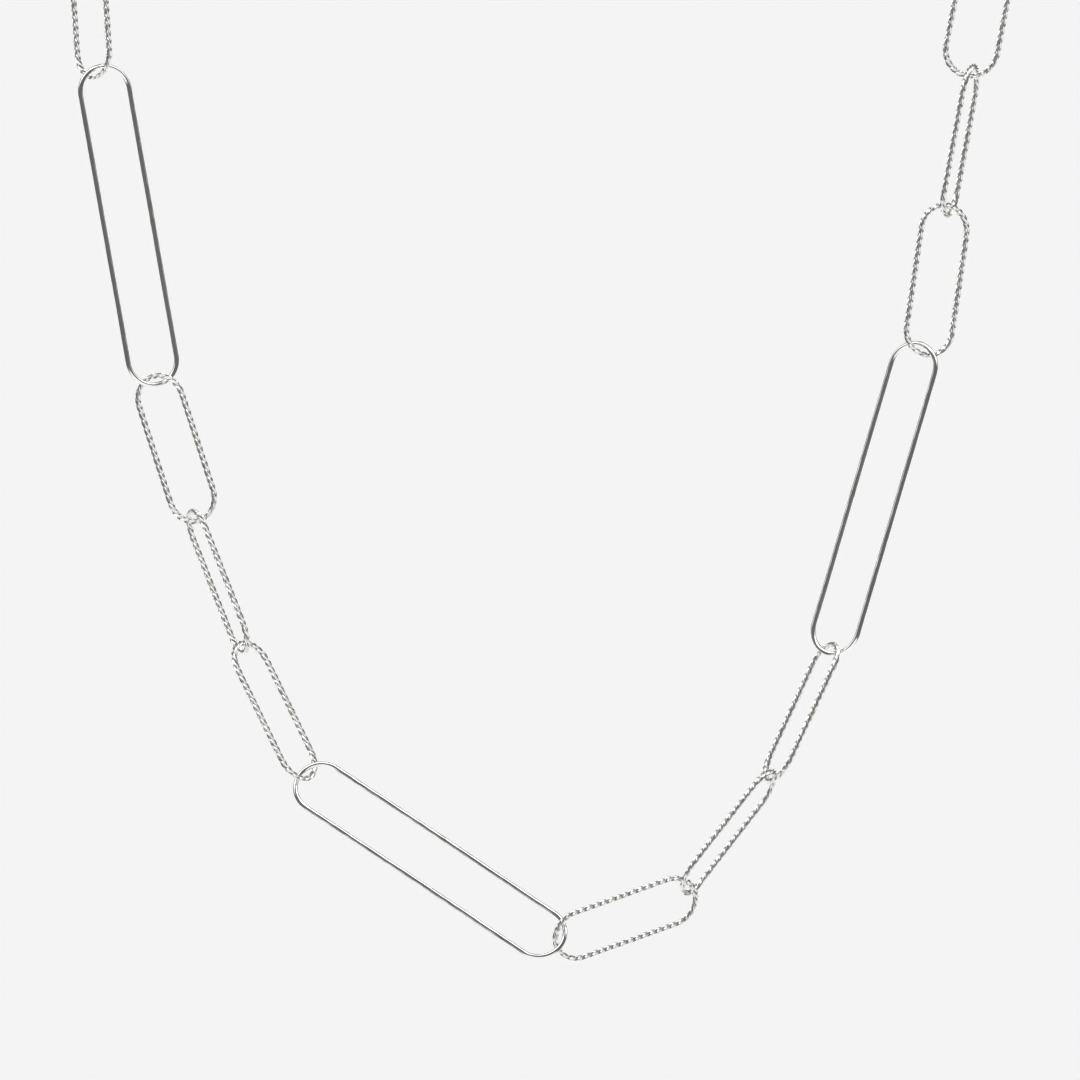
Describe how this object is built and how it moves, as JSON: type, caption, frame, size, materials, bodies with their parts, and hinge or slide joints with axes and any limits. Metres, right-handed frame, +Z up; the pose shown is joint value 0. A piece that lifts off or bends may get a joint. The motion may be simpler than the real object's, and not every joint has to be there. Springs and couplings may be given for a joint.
{
  "type": "paperclip chain necklace",
  "caption": "Silver paperclip chain necklace in its worn shape: long links of plain round wire alternate with shorter links of twisted square wire, closed by a plain ring clasp.",
  "frame": {"origin": "middle of the neck, level with the two points where the chain passes the sides of the neck", "axes": "+X towards the wearer's left, +Y towards the nape, +Z up; the front hangs on the -Y side"},
  "size_m": [0.1163, 0.0987, 0.1442],
  "materials": {
    "plain_silver": "polished sterling silver, round wire",
    "twisted_silver": "polished sterling silver, twisted square wire",
    "clasp_silver": "polished sterling silver"
  },
  "bodies": {
    "root": {"long_link_1": "plain_silver", "twisted_link_1": "twisted_silver", "twisted_link_2": "twisted_silver", "twisted_link_3": "twisted_silver", "long_link_2": "plain_silver", "twisted_link_4": "twisted_silver", "twisted_link_5": "twisted_silver", "twisted_link_6": "twisted_silver", "long_link_3": "plain_silver", "twisted_link_7": "twisted_silver", "twisted_link_8": "twisted_silver", "twisted_link_9": "twisted_silver", "long_link_4": "plain_silver", "twisted_link_10": "twisted_silver", "twisted_link_11": "twisted_silver", "twisted_link_12": "twisted_silver", "long_link_5": "plain_silver", "twisted_link_13": "twisted_silver", "twisted_link_14": "twisted_silver", "twisted_link_15": "twisted_silver", "clasp": "clasp_silver"}
  },
  "joints": []
}
